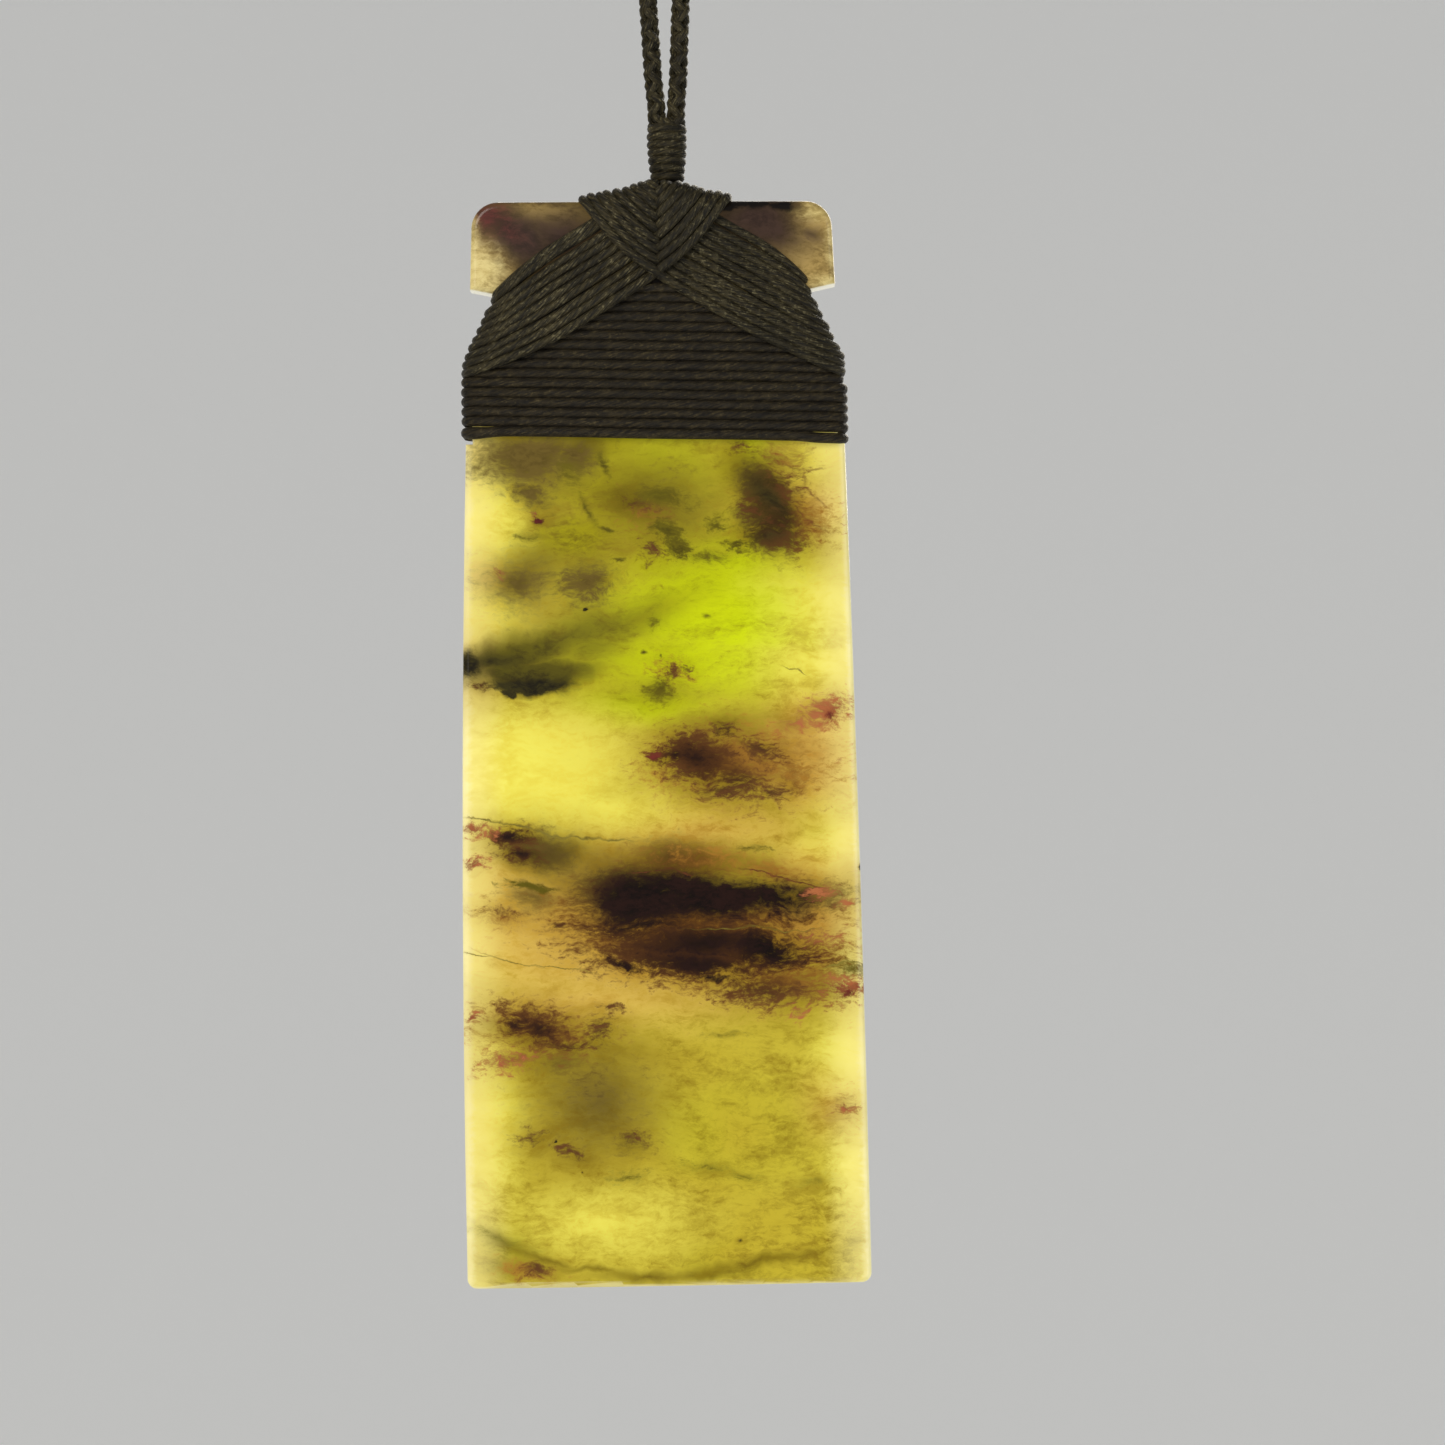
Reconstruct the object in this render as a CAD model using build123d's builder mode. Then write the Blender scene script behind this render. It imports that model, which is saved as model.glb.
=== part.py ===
from build123d import *

import math
import os

# Toki adze pendant: a jade adze blade whose hooked butt is lashed with waxed cord
# and hung from a plaited neck loop.
# Millimetres, +Z up. The face that is seen when worn looks towards -Y.
# The origin is the underside of the neck loop's top, where the loop hangs.

# Clearances between pieces
fit_gap = 0.1            # between a cord layer and what it is wound on
shoulder_gap = 0.4       # bare seat between the lowest turn and the blade's shoulder
pair_gap = 0.06          # between the two ends of the neck loop where they leave the collar

# Jade blade, measured down from the higher corner of its butt
blade_length = 94.6
blade_thickness = 6.0
face_crown = 0.7         # how much each face falls from its middle to its side edges
edge_round = 0.55        # radius round both faces
butt_width = 31.2
butt_fall = 0.4          # how much the butt falls from its left corner to its right one
butt_corner = 2.3
hook_flare = 0.3         # how far each hook tip stands out past the butt
hook_depth = 7.65        # from butt to hook tips
hook_undercut = 0.8      # how much the hooks' underside falls towards the neck
neck_width = 24.2        # narrowest place, under the hooks
neck_corner = 0.4
flank_height = 7.6       # slanting flank from neck to seat
seat_step = 0.6          # how deep each side is cut back for the lashing
seat_height = 5.0
shoulder_width = 33.0
left_bulge = 0.37        # how far each side bows out between shoulder and cutting edge
right_bulge = 0.15
edge_flare = 1.1         # how far each side spreads from shoulder to cutting edge
edge_corner = 0.85
bevel_height = 13.0      # ground on the back face only
bevel_round = 0.25
edge_land = 1.3          # thickness left at the cutting edge

# Waxed cord lashing
strand = 0.83
turn_bevel = 0.24        # grooves between the turns of the level band
lash_offset = 0.35       # lashing's middle, to the right of the blade's axis
crossing_depth = 7.0     # from butt to the point of the V
crossing_spread = 6.6    # half width of the V at the butt
bundle_foot = 15.4       # from butt to the lowest cord of the diagonals
bundle_sag = 0.9         # how much the lower border bows below a straight line
bundle_rise = 0.95       # how much the upper border bows above a straight line
bundle_top = 3.0         # half width between the upper borders at the butt
bundle_ramp = 3.5        # height in which the diagonals come down from the level band to the stone
saddle_height = 1.75     # mound of crossings over the butt
saddle_skirt = 1.0       # how far the mound laps down over the faces
saddle_eave = 0.2        # height at which the mound is widest
saddle_corner = 1.2

# Whipped collar
collar_width = 3.5
collar_height = 5.2
collar_turns = 7
turn_bulge = 0.14        # how far one turn of the collar stands out
collar_shape = (0.84, 0.9, 0.95, 0.97, 0.98, 1.0, 0.98, 0.9)    # widths between turns, from the foot up

# Plaited neck loop
plait = 1.68
loop_drop = 325.0        # from the hanging place to the collar's top
hang_radius = 15.0       # of what the loop hangs over
hang_offset = 1.45       # cord line, to the right of the blade's axis
pair_run = 1.3           # the two ends lie side by side for this height
flare_run = 1.8          # then they part by this height
flare = 0.2              # and each moves out by this much
arc_share = 0.45         # of a run's length that a bend at its end may take

# Levels and places that follow from the sizes above
collar_base = -loop_drop - collar_height
butt_level = collar_base - fit_gap - saddle_height
hook_width = butt_width + 2 * hook_flare
seat_width = shoulder_width - 2 * seat_step
edge_width = shoulder_width + 2 * edge_flare
neck_depth = hook_depth + hook_undercut
seat_depth = neck_depth + flank_height
shoulder_depth = seat_depth + seat_height
layer_one = fit_gap + strand
layer_two = 2 * layer_one
blade_plane = Plane(origin=(-hang_offset, 0, butt_level), x_dir=(1, 0, 0), z_dir=(0, -1, 0))
lash_plane = Plane(origin=(lash_offset - hang_offset, 0, butt_level), x_dir=(1, 0, 0), z_dir=(0, -1, 0))

os.makedirs("parts", exist_ok=True)


def level_plane(depth):
    # level plane on the blade's axis, at a depth below the butt
    return Plane(origin=(-hang_offset, 0, butt_level - depth))


def face_level(x, growth):
    # half thickness, at a distance from its axis, of the crowned stone grown by its cord layers
    half = edge_width / 2
    radius = (half**2 + face_crown**2) / (2 * face_crown)
    return math.sqrt((radius + growth) ** 2 - x**2) - (radius - blade_thickness / 2)


def stone_half_width(depth):
    # half width of the notched stone under the lashing
    share = min(max((depth - neck_depth) / flank_height, 0), 1)
    return (neck_width + (seat_width - neck_width) * share) / 2


def level_section(half_width, growth, corner):
    # level cut through the stone, grown by the cord layers on it
    reach = half_width + growth
    side = face_level(reach, growth)
    middle = face_level(0, growth)
    with BuildSketch() as section:
        with BuildLine():
            ThreePointArc((-reach, -side), (0, -middle), (reach, -side))
            Line((reach, -side), (reach, side))
            ThreePointArc((reach, side), (0, middle), (-reach, side))
            Line((-reach, side), (-reach, -side))
        make_face()
        if corner:
            fillet(section.vertices(), corner)
    return section.sketch


def blade_outline():
    # front outline of the blade, on its axis, with the butt's higher corner at level 0
    with BuildSketch() as outline:
        with BuildLine():
            Line((-butt_width / 2, 0), (butt_width / 2, -butt_fall))
            for side, fall, bulge in ((-1, 0, left_bulge), (1, butt_fall, right_bulge)):
                belly = (shoulder_width + edge_width) / 4 + bulge
                Polyline(
                    (side * butt_width / 2, -fall),
                    (side * hook_width / 2, -hook_depth),
                    (side * neck_width / 2, -neck_depth),
                    (side * seat_width / 2, -seat_depth),
                    (side * seat_width / 2, -shoulder_depth),
                    (side * shoulder_width / 2, -shoulder_depth),
                )
                ThreePointArc(
                    (side * shoulder_width / 2, -shoulder_depth),
                    (side * belly, -(shoulder_depth + blade_length) / 2),
                    (side * edge_width / 2, -blade_length),
                )
            Line((-edge_width / 2, -blade_length), (edge_width / 2, -blade_length))
        make_face()
        fillet(outline.vertices().sort_by(Axis.Y)[:2], edge_corner)
        fillet(outline.vertices().sort_by(Axis.Y)[-2:], butt_corner)
        necks = outline.vertices().sort_by(lambda vertex: abs(vertex.Y + neck_depth))
        fillet(necks[:2], neck_corner)
    return outline.sketch


def stone_body(growth):
    # crowned stone before its edges are rounded, grown by a clearance
    with BuildPart() as body:
        with BuildSketch(blade_plane):
            add(blade_outline())
            if growth:
                offset(amount=growth)
        extrude(amount=blade_thickness, both=True)
        with BuildSketch(level_plane(-butt_width)):
            add(level_section(edge_width, growth, 0))
        extrude(amount=-(blade_length + 2 * butt_width), mode=Mode.INTERSECT)
    return body.part


# Jade blade
with BuildPart() as toki_blade:
    add(stone_body(0))
    fillet(toki_blade.faces().sort_by(Axis.Y)[0].edges(), edge_round)
    fillet(toki_blade.faces().sort_by(Axis.Y)[-1].edges(), edge_round)
    bevel_top = -blade_length + bevel_height
    bevel_foot = -blade_length - bevel_height
    face = blade_thickness / 2
    with BuildSketch(Plane(origin=(-hang_offset, 0, butt_level), x_dir=(0, 1, 0), z_dir=(1, 0, 0))):
        with BuildLine():
            Polyline(
                (face, bevel_top),
                (2 * (edge_land - face) - face, bevel_foot),
                (blade_thickness, bevel_foot),
                (blade_thickness, bevel_top),
                close=True,
            )
        make_face()
    extrude(amount=edge_width, both=True, mode=Mode.SUBTRACT)
    bevel_face = toki_blade.faces().filter_by(GeomType.PLANE).sort_by(Axis.Y)[-1]
    bevel_rims = bevel_face.edges() - bevel_face.edges().sort_by(Axis.Z)[-1:]
    fillet(bevel_rims, bevel_round)

toki_blade.part.label = "toki_blade"
export_step(toki_blade.part, "parts/toki_blade.step")

# Level band of cord turns in the blade's neck
band_top = neck_depth + fit_gap
band_height = shoulder_depth - shoulder_gap - band_top
turns = math.ceil(band_height / strand)
turn_pitch = band_height / turns


def turn(top_depth):
    # one level turn of the cord, flat inside and bevelled outside
    half = stone_half_width(top_depth + turn_pitch)
    with BuildPart() as ring:
        with BuildSketch(level_plane(top_depth)):
            add(level_section(half, layer_one, edge_round + layer_one))
        extrude(amount=-turn_pitch)
        chamfer(ring.faces().filter_by(Axis.Z).edges(), turn_bevel)
        with BuildSketch(level_plane(top_depth)):
            add(level_section(half, fit_gap, edge_round + fit_gap))
        extrude(amount=-turn_pitch, mode=Mode.SUBTRACT)
    return ring.part


with BuildPart() as wrap_band:
    for i in range(turns):
        add(turn(band_top + i * turn_pitch))

wrap_band.part.label = "wrap_band"
export_step(wrap_band.part, "parts/wrap_band.step")


def bundle_outline():
    # front outline of both diagonal bundles: the left one and its mirror image
    flank = neck_width / 2 + layer_two
    beyond = seat_width / 2 + layer_two + lash_offset
    with BuildSketch() as outline:
        with BuildLine():
            SagittaArc((0, -crossing_depth), (-beyond, -bundle_foot), bundle_sag)
            Polyline(
                (-beyond, -bundle_foot),
                (-beyond, -neck_depth - fit_gap),
                (-flank, -neck_depth + fit_gap),
            )
            SagittaArc((-flank, -neck_depth + fit_gap), (-bundle_top, 0), bundle_rise)
            Polyline((-bundle_top, 0), (crossing_spread, 0), (0, -crossing_depth))
        make_face()
        mirror(about=Plane.YZ)
    return outline.sketch


def band_clearance():
    # room that the level band takes under the diagonals
    wrap = layer_one + fit_gap
    with BuildPart() as room:
        with BuildSketch(level_plane(neck_depth)):
            add(level_section(stone_half_width(neck_depth + turn_pitch), wrap, edge_round + wrap))
        with BuildSketch(level_plane(seat_depth - turn_pitch)):
            add(level_section(seat_width / 2, wrap, edge_round + wrap))
        loft(ruled=True)
        extrude(room.faces().sort_by(Axis.Z)[0], amount=seat_height + turn_pitch)
    return room.part


# Second layer of cord in the V, over the hooks
with BuildPart() as crossing_pad:
    with BuildSketch(level_plane(crossing_depth)):
        add(level_section(neck_width / 2, layer_two, 0))
    extrude(amount=crossing_depth)
    with BuildSketch(lash_plane):
        with BuildLine():
            Polyline((-crossing_spread, 0), (0, -crossing_depth), (crossing_spread, 0), close=True)
        make_face()
    extrude(amount=blade_thickness, both=True, mode=Mode.INTERSECT)

# Mound where the cords cross over the butt, gathered in under the collar
skirt_width = 2 * crossing_spread * (1 - saddle_skirt / crossing_depth)
collar_foot = collar_width * collar_shape[0]
with BuildPart() as saddle:
    with BuildSketch(Plane(origin=(lash_offset - hang_offset, 0, butt_level - saddle_skirt))):
        RectangleRounded(skirt_width, 2 * face_level(0, layer_two), saddle_corner)
    with BuildSketch(Plane(origin=(lash_offset - hang_offset, 0, butt_level + saddle_eave))):
        RectangleRounded(2 * crossing_spread, blade_thickness + layer_one, saddle_corner)
    with BuildSketch(Plane(origin=(0, 0, butt_level + saddle_height))):
        RectangleRounded(collar_foot, collar_foot, saddle_corner)
    loft(ruled=True)

# Diagonal bundles, front and back, as one closed lashing
with BuildPart() as cross_lashing:
    with BuildSketch(level_plane(bundle_foot)):
        add(level_section(stone_half_width(bundle_foot), layer_two, edge_round + layer_two))
    with BuildSketch(level_plane(neck_depth)):
        add(level_section(neck_width / 2, layer_two, edge_round + layer_two))
    loft(ruled=True)
    with BuildSketch(level_plane(neck_depth)):
        add(level_section(neck_width / 2, layer_two, 0))
    with BuildSketch(level_plane(neck_depth - bundle_ramp)):
        add(level_section(neck_width / 2, layer_one, 0))
    loft(ruled=True)
    extrude(cross_lashing.faces().sort_by(Axis.Z)[-1], amount=neck_depth - bundle_ramp)
    with BuildSketch(lash_plane):
        add(bundle_outline())
    extrude(amount=blade_thickness, both=True, mode=Mode.INTERSECT)
    add(crossing_pad.part)
    add(saddle.part)
    add(stone_body(fit_gap), mode=Mode.SUBTRACT)
    add(band_clearance(), mode=Mode.SUBTRACT)

cross_lashing.part.label = "cross_lashing"
export_step(cross_lashing.part, "parts/cross_lashing.step")

# Collar: a close whipping of level turns round the two ends of the neck loop
collar_pitch = collar_height / collar_turns
with BuildPart() as collar:
    with BuildSketch(Plane.XZ):
        with BuildLine():
            waists = [
                (share * collar_width / 2 - turn_bulge, collar_base + i * collar_pitch)
                for i, share in enumerate(collar_shape)
            ]
            for low, high in zip(waists, waists[1:]):
                swell = ((low[0] + high[0]) / 2 + turn_bulge, (low[1] + high[1]) / 2)
                ThreePointArc(low, swell, high)
            Polyline(waists[-1], (0, collar_base + collar_height), (0, collar_base), waists[0])
        make_face()
    revolve(axis=Axis.Z)

collar.part.label = "collar"
export_step(collar.part, "parts/collar.step")

# Neck loop: each end leaves the collar beside the other, flares out, runs straight up
# and meets the other half in an arc over what the loop hangs on
pair_half = (plait + pair_gap) / 2
crown_radius = hang_radius + plait / 2
pair_top = -loop_drop + pair_run
flare_top = pair_top + flare_run
centre_rise = -hang_radius - flare_top
centre_distance = math.hypot(pair_half + flare, centre_rise)
lean = math.asin(crown_radius / centre_distance) - math.atan2(pair_half + flare, centre_rise)
side_ends = [
    (pair_half, -loop_drop),
    (pair_half, pair_top),
    (pair_half + flare, flare_top),
    (crown_radius * math.cos(lean), -crown_radius * math.sin(lean) - hang_radius),
]


def corner_radii(points):
    # each arc is as large as its two runs allow
    radii = []
    for before, corner, after in zip(points, points[1:], points[2:]):
        run_in = Vector(*corner) - Vector(*before)
        run_out = Vector(*after) - Vector(*corner)
        half_turn = math.radians(run_in.get_angle(run_out)) / 2
        radii.append(arc_share * min(run_in.length, run_out.length) / math.tan(half_turn))
    return radii


side_radii = corner_radii(side_ends)
print("neck loop radii", [round(radius, 1) for radius in side_radii], round(crown_radius, 2))

with BuildPart() as neck_plait:
    with BuildLine(Plane.XZ) as route:
        left_side = FilletPolyline(*[(-x, z) for x, z in side_ends], radius=side_radii)
        ThreePointArc(left_side @ 1, (0, plait / 2), side_ends[-1])
        FilletPolyline(*side_ends[::-1], radius=side_radii[::-1])
    path = route.wires()[0]
    with BuildSketch(Plane(origin=path @ 0, z_dir=path % 0)):
        Circle(plait / 2)
    sweep(path=path)
route_length = path.length
print("neck loop length", round(route_length, 1))
print("volume over section times length", neck_plait.part.volume / (math.pi * plait**2 / 4 * route_length))

neck_plait.part.label = "neck_plait"
export_step(neck_plait.part, "parts/neck_plait.step")
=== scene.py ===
import math

import bpy
import numpy as np
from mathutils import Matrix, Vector


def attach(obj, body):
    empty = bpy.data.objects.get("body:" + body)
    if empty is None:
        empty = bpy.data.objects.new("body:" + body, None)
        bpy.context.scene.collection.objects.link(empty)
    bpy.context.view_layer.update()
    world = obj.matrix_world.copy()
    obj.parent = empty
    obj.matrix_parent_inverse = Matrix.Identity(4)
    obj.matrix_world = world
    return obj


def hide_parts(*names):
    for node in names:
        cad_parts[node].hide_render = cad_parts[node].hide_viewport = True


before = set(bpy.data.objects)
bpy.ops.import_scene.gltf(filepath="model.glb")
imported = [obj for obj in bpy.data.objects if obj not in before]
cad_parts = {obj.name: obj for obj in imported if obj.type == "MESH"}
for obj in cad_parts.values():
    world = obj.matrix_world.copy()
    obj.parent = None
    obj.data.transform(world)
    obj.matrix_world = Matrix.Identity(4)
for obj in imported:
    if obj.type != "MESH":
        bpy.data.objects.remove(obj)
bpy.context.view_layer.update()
print("frame loaded")

mm = 0.001


class Wire:
    # one output of a shader node, so that shader maths reads as an expression
    def __init__(self, paint, socket):
        self.paint, self.socket = paint, socket

    def maths(self, operation, *others):
        return self.paint.node("Math", {"operation": operation}, dict(enumerate((self,) + others)))

    def vector(self, operation, *others, output="Vector"):
        return self.paint.node("VectorMath", {"operation": operation}, dict(enumerate((self,) + others)), output)

    def part(self, axis):
        return self.paint.node("SeparateXYZ", {}, {0: self}, axis)

    def __add__(self, other):
        return self.maths("ADD", other)

    def __sub__(self, other):
        return self.maths("SUBTRACT", other)

    def __rsub__(self, other):
        return self.paint.node("Math", {"operation": "SUBTRACT"}, {0: other, 1: self})

    def __mul__(self, other):
        return self.maths("MULTIPLY", other)

    def __truediv__(self, other):
        return self.maths("DIVIDE", other)

    __radd__, __rmul__ = __add__, __mul__


class Paint:
    # one material and the nodes in it
    def __init__(self, name):
        self.material = bpy.data.materials.new(name)
        self.material.use_nodes = True
        self.tree = self.material.node_tree
        self.tree.nodes.clear()

    def node(self, kind, settings, sockets, output=0):
        made = self.tree.nodes.new("ShaderNode" + kind)
        for name, value in settings.items():
            setattr(made, name, value)
        for name, value in sockets.items():
            if isinstance(value, Wire):
                self.tree.links.new(value.socket, made.inputs[name])
            else:
                made.inputs[name].default_value = value
        return Wire(self, made.outputs[output])

    def mix(self, share, first, second, blend="MIX"):
        settings = {"data_type": "RGBA", "blend_type": blend}
        return self.node("Mix", settings, {0: share, 6: first, 7: second}, output=2)

    def noise(self, place, scale, detail, roughness=0.55, output=0):
        sockets = {"Vector": place, "Scale": scale, "Detail": detail, "Roughness": roughness}
        return self.node("TexNoise", {}, sockets, output)

    def ease(self, value, low, high, start=0.0, end=1.0):
        # soft step from start to end as value goes from low to high
        sockets = {"Value": value, "From Min": low, "From Max": high, "To Min": start, "To Max": end}
        return self.node("MapRange", {"interpolation_type": "SMOOTHSTEP"}, sockets)

    def finish(self, shader):
        output = self.tree.nodes.new("ShaderNodeOutputMaterial")
        self.tree.links.new(shader.socket, output.inputs["Surface"])
        return self.material


class Coat(Paint):
    # a group of nodes that one material uses
    def __init__(self, name, taken):
        self.tree = bpy.data.node_groups.new(name, "ShaderNodeTree")
        for label, kind in taken.items():
            self.tree.interface.new_socket(label, in_out="INPUT", socket_type="NodeSocket" + kind)
        self.tree.interface.new_socket("colour", in_out="OUTPUT", socket_type="NodeSocketColor")
        entry = self.tree.nodes.new("NodeGroupInput")
        self.taken = [Wire(self, entry.outputs[label]) for label in taken]

    def give(self, colour):
        end = self.tree.nodes.new("NodeGroupOutput")
        self.tree.links.new(colour.socket, end.inputs["colour"])
        return self.tree


def sRGB(red, green, blue):
    # a colour as it is seen on screen, 0 to 255
    def linear(value):
        value /= 255
        return value / 12.92 if value <= 0.04045 else ((value + 0.055) / 1.055) ** 2.4
    return (linear(red), linear(green), linear(blue), 1)


# Camera and studio. Places on the pendant are given from the blade's axis and down from its butt, in millimetres.
bladeAxis = -1.45
buttLevel = -332.05

cameraLook = {
    "target": (3.99, -3.0, -377.7),   # what the middle of the picture shows
    "distance": 600,
    "frameWidth": 125.65,   # seen at the stone's face
    "roll": 0.99,   # degrees
    "sensor": 36,
    "clip": (0.01, 50),   # metres
}

studioLook = {
    "floor": -1500, "wall": 2700, "sweep": 600, "halfWidth": 3200, "front": -3000, "top": 3000,
    "sweepSteps": 24,
    "backdrop": sRGB(222, 222, 220),
    "backdropGlow": 0.41,
    "world": sRGB(226, 227, 230),
    "worldStrength": 0.18,
    "aim": (0, 0, -380),   # where all the lamps point
    "lamps": {   # place, width, watts, colour
        "keyLamp": ((-420, -620, -60), 420, 2.9, sRGB(255, 250, 242)),
        "fillLamp": ((620, -520, -420), 600, 1.3, sRGB(240, 244, 255)),
        "backLamp": ((120, 420, -200), 320, 1.2, sRGB(255, 246, 228)),
    },
}

cameraData = bpy.data.cameras.new("camera")
cameraData.sensor_width = cameraLook["sensor"]
cameraData.lens = cameraLook["sensor"] * cameraLook["distance"] / cameraLook["frameWidth"]
cameraData.clip_start, cameraData.clip_end = cameraLook["clip"]
camera = bpy.data.objects.new("camera", cameraData)
bpy.context.scene.collection.objects.link(camera)
camera.location = (Vector(cameraLook["target"]) - Vector((0, cameraLook["distance"], 0))) * mm
camera.rotation_mode = "XYZ"
camera.rotation_euler = (math.radians(90), math.radians(cameraLook["roll"]), 0)
bpy.context.scene.camera = camera


def backdropMesh():
    # floor, quarter-round sweep and wall in one sheet
    look = studioLook
    sweepStart = look["wall"] - look["sweep"]
    profile = [(look["front"], look["floor"]), (sweepStart, look["floor"])]
    for i in range(1, look["sweepSteps"] + 1):
        turn = math.radians(90) * i / look["sweepSteps"]
        profile.append((sweepStart + look["sweep"] * math.sin(turn),
                        look["floor"] + look["sweep"] * (1 - math.cos(turn))))
    profile.append((look["wall"], look["top"]))
    vertices, faces = [], []
    for y, z in profile:
        vertices += [(-look["halfWidth"] * mm, y * mm, z * mm), (look["halfWidth"] * mm, y * mm, z * mm)]
    for i in range(len(profile) - 1):
        faces.append((2 * i, 2 * i + 1, 2 * i + 3, 2 * i + 2))
    mesh = bpy.data.meshes.new("backdrop")
    mesh.from_pydata(vertices, [], faces)
    mesh.polygons.foreach_set("use_smooth", [True] * len(faces))
    return mesh


def backdropPaint():
    paint = Paint("backdropPaint")
    shader = paint.node("BsdfPrincipled", {}, {
        "Base Color": studioLook["backdrop"], "Roughness": 0.9,
        "Emission Color": studioLook["backdrop"], "Emission Strength": studioLook["backdropGlow"],
    })
    return paint.finish(shader)


backdrop = bpy.data.objects.new("backdrop", backdropMesh())
backdrop.data.materials.append(backdropPaint())
bpy.context.scene.collection.objects.link(backdrop)

for name, (place, width, watts, colour) in studioLook["lamps"].items():
    lampData = bpy.data.lights.new(name, "AREA")
    lampData.shape = "DISK"
    lampData.size = width * mm
    lampData.energy = watts
    lampData.color = colour[:3]
    lamp = bpy.data.objects.new(name, lampData)
    lamp.location = Vector(place) * mm
    lamp.rotation_euler = (Vector(studioLook["aim"]) - Vector(place)).to_track_quat("-Z", "Y").to_euler()
    lamp.visible_camera = False
    bpy.context.scene.collection.objects.link(lamp)

world = bpy.data.worlds.new("studio")
world.use_nodes = True
sky = world.node_tree.nodes["Background"]
sky.inputs["Color"].default_value = studioLook["world"]
sky.inputs["Strength"].default_value = studioLook["worldStrength"]
bpy.context.scene.world = world
bpy.context.scene.view_settings.view_transform = "Standard"
print("camera and studio ready")

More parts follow.
